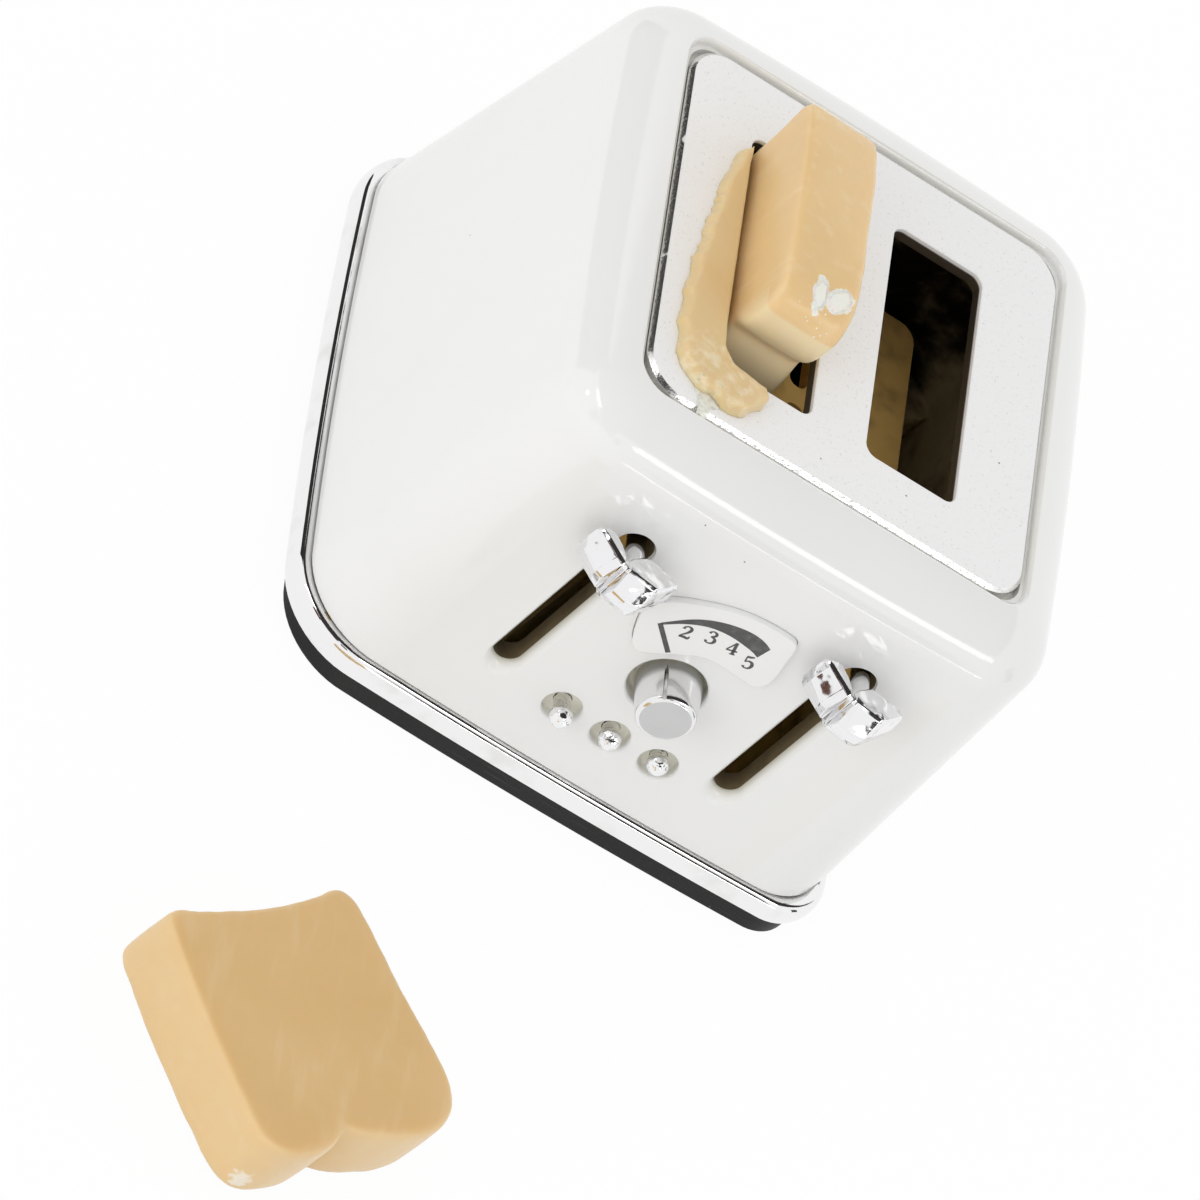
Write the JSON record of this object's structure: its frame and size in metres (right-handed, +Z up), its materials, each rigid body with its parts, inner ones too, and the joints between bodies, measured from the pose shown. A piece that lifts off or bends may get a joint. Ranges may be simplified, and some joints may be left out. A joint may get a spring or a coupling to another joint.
{
  "type": "miniature toaster",
  "caption": "Doll's house toaster with a drafted enamelled housing, bread slots, lift levers that slide down the front, a dial, push pins, a chrome band and slices of toast.",
  "frame": {"origin": "on the table, under the middle of the toaster's base", "axes": "+Z up, the front with the dial and levers faces -Y, +X is to the right of someone who looks at that front"},
  "size_m": [0.0312, 0.054, 0.0235],
  "materials": {
    "housing": "glossy cream-white enamel",
    "top_plate": "satin grey-white paint with fine specks",
    "chrome_band": "polished plating",
    "base_plate": "black, half gloss",
    "screws": "plain",
    "scale_label": "glossy, with a dark grey printed scale",
    "dial_knob": "polished plating",
    "clips": "plain",
    "buttons": "polished plating",
    "lever_handles": "polished plating",
    "carriages": "dull, tarnished brown",
    "guide_rods": "plain",
    "toast": "soft satin resin",
    "toast_shaving": "matt where it was cut"
  },
  "bodies": {
    "toaster": {"housing": "housing", "top_plate": "top_plate", "chrome_band": "chrome_band", "base_plate": "base_plate", "base_screw_front_left": "screws", "base_screw_front_right": "screws", "base_screw_rear_left": "screws", "base_screw_rear_right": "screws", "scale_label": "scale_label", "guide_rod_left": "guide_rods", "guide_rod_right": "guide_rods"},
    "left_lever": {"lever_handle_left": "lever_handles", "stem_clip_left": "clips", "carriage_left": "carriages"},
    "right_lever": {"lever_handle_right": "lever_handles", "stem_clip_right": "clips", "carriage_right": "carriages"},
    "dial": {"dial_knob": "dial_knob", "dial_clip": "clips"},
    "left_button": {"button_left": "buttons"},
    "middle_button": {"button_middle": "buttons"},
    "right_button": {"button_right": "buttons"},
    "standing_toast": {"toast_standing": "toast"},
    "loose_toast": {"toast_loose": "toast"},
    "crust_shaving": {"toast_shaving": "toast_shaving"}
  },
  "joints": [
    {"name": "left_lever_slide", "type": "slide", "parent": "toaster", "child": "left_lever", "axis": [0, 0, 1], "range_m": [-0.0074, 0]},
    {"name": "right_lever_slide", "type": "slide", "parent": "toaster", "child": "right_lever", "axis": [0, 0, 1], "range_m": [-0.0074, 0]},
    {"name": "dial_turn", "type": "hinge", "parent": "toaster", "child": "dial", "pos_m": [0, -0.01325, 0.00933], "axis": [0, 0.9976, -0.0698], "range_deg": [0, 60]},
    {"name": "left_button_slide", "type": "slide", "parent": "toaster", "child": "left_button", "axis": [0, 0.9976, -0.0698], "range_m": [0, 0.0005]},
    {"name": "middle_button_slide", "type": "slide", "parent": "toaster", "child": "middle_button", "axis": [0, 0.9976, -0.0698], "range_m": [-0.0002, 0.0003]},
    {"name": "right_button_slide", "type": "slide", "parent": "toaster", "child": "right_button", "axis": [0, 0.9976, -0.0698], "range_m": [-0.00034, 0.00015]},
    {"name": "standing_toast_lift", "type": "slide", "parent": "left_lever", "child": "standing_toast", "axis": [0, 0, 1], "range_m": [0, 0.012]},
    {"name": "loose_toast_lift", "type": "slide", "parent": "toaster", "child": "loose_toast", "axis": [0, 0, 1], "range_m": [0, 0.02]},
    {"name": "crust_shaving_lift", "type": "slide", "parent": "toaster", "child": "crust_shaving", "axis": [0, 0, 1], "range_m": [0, 0.01]}
  ]
}
